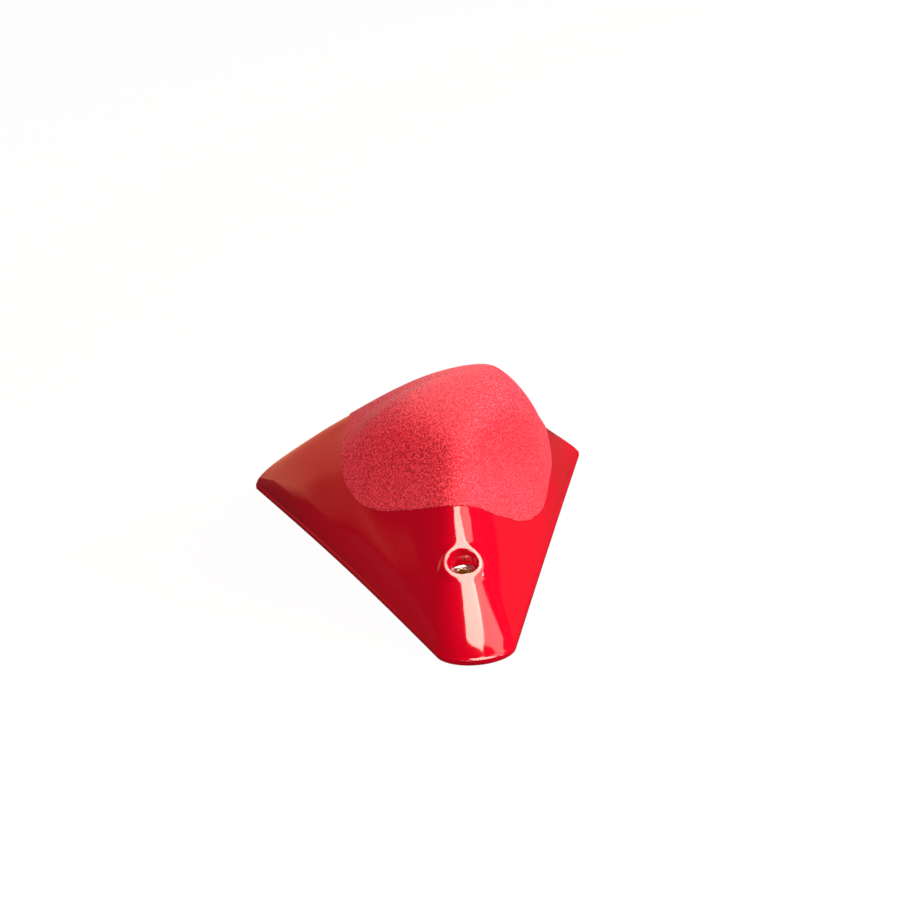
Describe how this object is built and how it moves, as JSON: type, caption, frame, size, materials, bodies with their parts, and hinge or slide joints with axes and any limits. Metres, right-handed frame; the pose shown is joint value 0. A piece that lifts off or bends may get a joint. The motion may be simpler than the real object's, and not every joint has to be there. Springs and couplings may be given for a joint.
{
  "type": "sloper hold",
  "caption": "Hollow kite-shaped fibreglass climbing sloper: gloss red shell, raised sanded grip over the dome, sunk bolt seat on the nose ridge.",
  "frame": {"origin": "middle of the hold's plan at the wall plane", "axes": "+Z away from the wall, -Y toward the rounded nose that holds the bolt seat, X across"},
  "size_m": [0.2374, 0.3854, 0.1276],
  "materials": {
    "gel_coat": "gloss red gel coat over glass-fibre laminate",
    "grip_sand": "red resin with sand, dry and rough",
    "steel": "bright stainless steel",
    "zinc_plate": "yellow passivated zinc on steel",
    "birch_ply": "birch plywood, unfinished"
  },
  "bodies": {
    "root": {"shell": "gel_coat", "grip_skin": "grip_sand", "washer": "steel", "bolt_sleeve": "zinc_plate", "bolt_block": "birch_ply", "rib_long": "birch_ply", "rib_left": "birch_ply", "rib_right": "birch_ply"}
  },
  "joints": []
}
